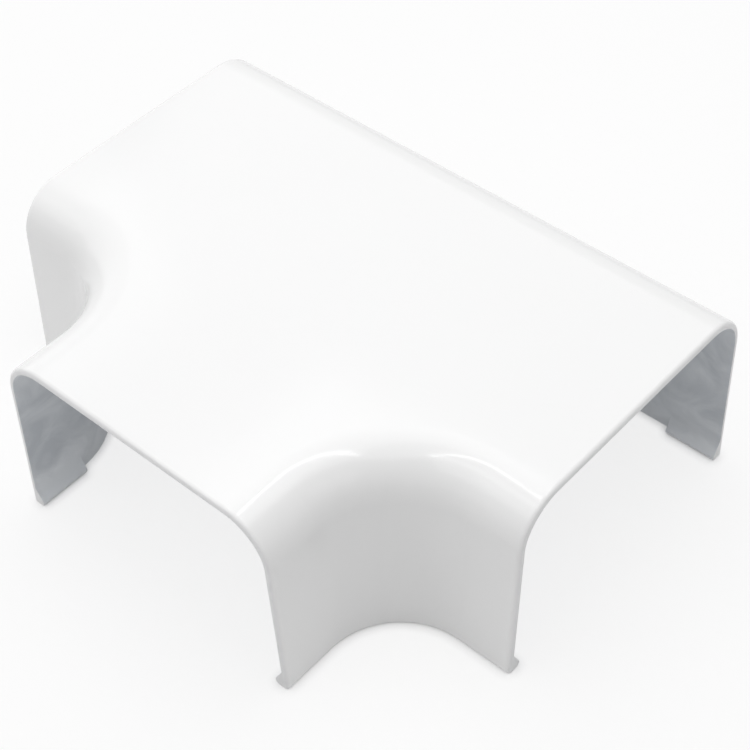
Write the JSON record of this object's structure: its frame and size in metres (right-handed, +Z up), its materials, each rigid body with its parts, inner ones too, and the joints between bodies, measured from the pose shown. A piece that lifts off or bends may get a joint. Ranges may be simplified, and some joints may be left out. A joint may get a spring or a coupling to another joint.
{
  "type": "trunking tee fitting",
  "caption": "T-shaped clip-over cover for cable trunking: flat top, rounded top edges, concave inside corners, leaning walls with snap lips, open underneath and at its ends.",
  "frame": {"origin": "middle of the footprint, on the wall or bench that the open underside sits on", "axes": "+X along the straight run, -Y out through the branch, +Z up through the flat top"},
  "size_m": [0.19, 0.1474, 0.0655],
  "materials": {
    "white_plastic": "glossy moulded white"
  },
  "bodies": {
    "root": {"tee_cover": "white_plastic"}
  },
  "joints": []
}
